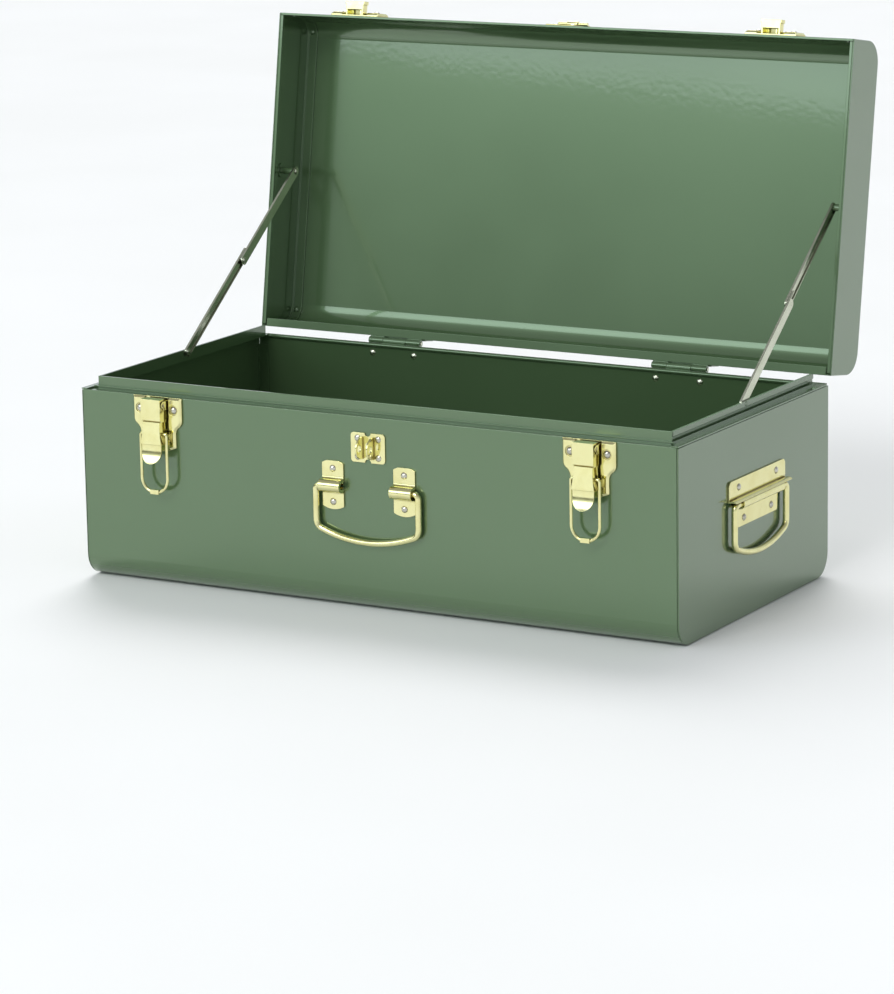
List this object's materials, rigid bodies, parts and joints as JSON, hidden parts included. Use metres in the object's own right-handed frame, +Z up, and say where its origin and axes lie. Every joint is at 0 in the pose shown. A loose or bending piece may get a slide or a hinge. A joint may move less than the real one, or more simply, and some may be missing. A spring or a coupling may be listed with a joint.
{
  "type": "footlocker",
  "caption": "Low steel footlocker standing open, with a hinged lid on folding stays, draw latches, a hasp and swinging wire handles.",
  "frame": {"origin": "centre of the underside of the body", "axes": "+X along the front to the right, +Y towards the back where the hinges are, +Z up"},
  "size_m": [0.5236, 0.407, 0.4153],
  "materials": {
    "painted_shell": "satin",
    "plated_hardware": "polished",
    "zinc_steel": "satin",
    "nickel_rivets": "polished"
  },
  "bodies": {
    "body": {"body_wrap": "painted_shell", "body_end_left": "painted_shell", "body_end_right": "painted_shell", "body_lip_front": "painted_shell", "body_lip_left": "painted_shell", "body_lip_right": "painted_shell", "hinge_body_leaf_left": "painted_shell", "hinge_body_leaf_right": "painted_shell", "hinge_pin_left": "zinc_steel", "hinge_pin_right": "zinc_steel", "hinge_body_rivets": "zinc_steel", "latch_base_left": "plated_hardware", "latch_base_right": "plated_hardware", "latch_base_rivets": "nickel_rivets", "latch_pin_left": "nickel_rivets", "latch_pin_right": "nickel_rivets", "hasp_staple": "plated_hardware", "hasp_staple_rivets": "nickel_rivets", "front_handle_bracket_left": "plated_hardware", "front_handle_bracket_right": "plated_hardware", "front_handle_rivets": "nickel_rivets", "side_handle_plate_left": "plated_hardware", "side_handle_plate_right": "plated_hardware", "side_handle_rivets": "nickel_rivets", "stay_body_studs": "zinc_steel"},
    "lid": {"lid_wrap": "painted_shell", "lid_end_left": "painted_shell", "lid_end_right": "painted_shell", "lid_corner_rivets": "painted_shell", "hinge_lid_leaf_left": "painted_shell", "hinge_lid_leaf_right": "painted_shell", "hinge_lid_rivets": "zinc_steel", "latch_catch_left": "plated_hardware", "latch_catch_right": "plated_hardware", "latch_catch_rivets": "nickel_rivets", "hasp_leaf": "plated_hardware", "hasp_leaf_rivets": "nickel_rivets", "stay_lid_bosses": "painted_shell", "stay_lid_studs": "zinc_steel"},
    "hasp_strap": {"hasp_strap": "plated_hardware"},
    "front_handle": {"front_handle_bail": "plated_hardware"},
    "latch_lever_left": {"latch_lever_left": "plated_hardware"},
    "latch_bail_left": {"latch_bail_left": "plated_hardware"},
    "side_handle_left": {"side_handle_bail_left": "plated_hardware"},
    "stay_lower_left": {"stay_lower_arm_left": "zinc_steel", "stay_lower_elbow_left": "zinc_steel"},
    "stay_upper_left": {"stay_upper_arm_left": "zinc_steel", "stay_upper_elbow_left": "zinc_steel"},
    "latch_lever_right": {"latch_lever_right": "plated_hardware"},
    "latch_bail_right": {"latch_bail_right": "plated_hardware"},
    "side_handle_right": {"side_handle_bail_right": "plated_hardware"},
    "stay_lower_right": {"stay_lower_arm_right": "zinc_steel", "stay_lower_elbow_right": "zinc_steel"},
    "stay_upper_right": {"stay_upper_arm_right": "zinc_steel", "stay_upper_elbow_right": "zinc_steel"}
  },
  "joints": [
    {"name": "lid_hinge", "type": "hinge", "parent": "body", "child": "lid", "pos_m": [0, 0.1304, 0.1496], "axis": [-1, 0, 0], "range_deg": [-99, 0]},
    {"name": "hasp_hinge", "type": "hinge", "parent": "lid", "child": "hasp_strap", "pos_m": [0, 0.19949, 0.4017], "axis": [-1, 0, 0], "range_deg": [-195, 0]},
    {"name": "front_handle_swing", "type": "hinge", "parent": "body", "child": "front_handle", "pos_m": [0, -0.1309, 0.0935], "axis": [-1, 0, 0], "range_deg": [0, 90]},
    {"name": "latch_lever_left_turn", "type": "hinge", "parent": "body", "child": "latch_lever_left", "pos_m": [-0.184, -0.135, 0.1425], "axis": [-1, 0, 0], "range_deg": [0, 125]},
    {"name": "latch_bail_left_turn", "type": "hinge", "parent": "latch_lever_left", "child": "latch_bail_left", "pos_m": [-0.184, -0.135, 0.12], "axis": [1, 0, 0], "range_deg": [-180, 0]},
    {"name": "side_handle_left_swing", "type": "hinge", "parent": "body", "child": "side_handle_left", "pos_m": [-0.2579, 0, 0.088], "axis": [0, 1, 0], "range_deg": [0, 90]},
    {"name": "stay_lower_left_turn", "type": "hinge", "parent": "body", "child": "stay_lower_left", "pos_m": [-0.2418, 0.003, 0.1542], "axis": [-1, 0, 0], "range_deg": [-154.2, 0]},
    {"name": "stay_upper_left_turn", "type": "hinge", "parent": "lid", "child": "stay_upper_left", "pos_m": [-0.2397, 0.16637, 0.27572], "axis": [-1, 0, 0], "range_deg": [0, 118.4]},
    {"name": "latch_lever_right_turn", "type": "hinge", "parent": "body", "child": "latch_lever_right", "pos_m": [0.184, -0.135, 0.1425], "axis": [-1, 0, 0], "range_deg": [0, 125]},
    {"name": "latch_bail_right_turn", "type": "hinge", "parent": "latch_lever_right", "child": "latch_bail_right", "pos_m": [0.184, -0.135, 0.12], "axis": [1, 0, 0], "range_deg": [-180, 0]},
    {"name": "side_handle_right_swing", "type": "hinge", "parent": "body", "child": "side_handle_right", "pos_m": [0.2579, 0, 0.088], "axis": [0, -1, 0], "range_deg": [0, 90]},
    {"name": "stay_lower_right_turn", "type": "hinge", "parent": "body", "child": "stay_lower_right", "pos_m": [0.2418, 0.003, 0.1542], "axis": [-1, 0, 0], "range_deg": [-154.2, 0]},
    {"name": "stay_upper_right_turn", "type": "hinge", "parent": "lid", "child": "stay_upper_right", "pos_m": [0.2397, 0.16637, 0.27572], "axis": [-1, 0, 0], "range_deg": [0, 118.4]}
  ],
  "couplings": [
    {"joint": "stay_lower_left_turn", "follows": "lid_hinge", "ratio": 1.557},
    {"joint": "stay_upper_left_turn", "follows": "lid_hinge", "ratio": -1.1955},
    {"joint": "stay_lower_right_turn", "follows": "lid_hinge", "ratio": 1.557},
    {"joint": "stay_upper_right_turn", "follows": "lid_hinge", "ratio": -1.1955}
  ]
}
